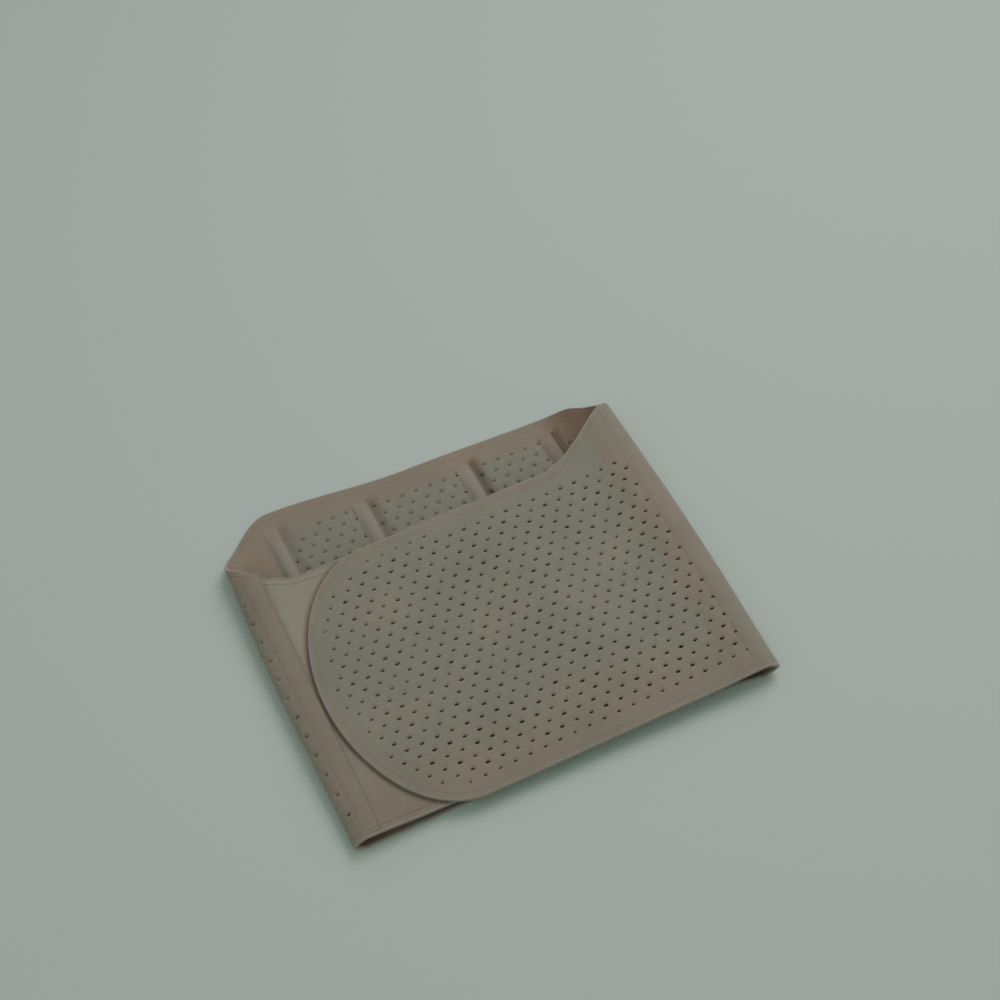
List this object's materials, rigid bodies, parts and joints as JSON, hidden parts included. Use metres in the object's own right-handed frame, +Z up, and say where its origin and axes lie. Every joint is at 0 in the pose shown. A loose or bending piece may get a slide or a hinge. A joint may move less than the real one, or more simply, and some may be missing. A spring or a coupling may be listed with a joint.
{
  "type": "abdominal support belt",
  "caption": "Wide perforated cloth belt closed into a loop by a rounded front flap, with flexible stays up the back, lying flat on its back.",
  "frame": {"origin": "on the floor under the middle of the belt's box, as it lies on its back", "axes": "+X across the belt towards the flap's sewn side, +Y towards the belt's top edge, +Z up from the floor through back and front"},
  "size_m": [0.3142, 0.2812, 0.0292],
  "materials": {
    "perforated_cloth": "matt brushed knit on thin foam, punched with rows of small slots",
    "plain_cloth": "matt loop-faced knit",
    "casing_tape": "matt close-woven tape",
    "binding_tape": "soft knitted edge, slightly paler than the cloth",
    "hook_tape": "matt hook tape"
  },
  "bodies": {
    "root": {"back_panel_left": "perforated_cloth", "back_panel_centre": "perforated_cloth", "back_panel_right": "perforated_cloth", "side_panel_left": "perforated_cloth", "side_panel_right": "perforated_cloth", "landing_panel": "plain_cloth", "closing_flap": "perforated_cloth", "hook_patch": "hook_tape", "stay_casing_1": "casing_tape", "stay_casing_2": "casing_tape", "stay_casing_3": "casing_tape", "stay_casing_4": "casing_tape", "seam_casing_left": "casing_tape", "seam_casing_right": "casing_tape", "top_binding": "binding_tape", "bottom_binding": "binding_tape"}
  },
  "joints": []
}
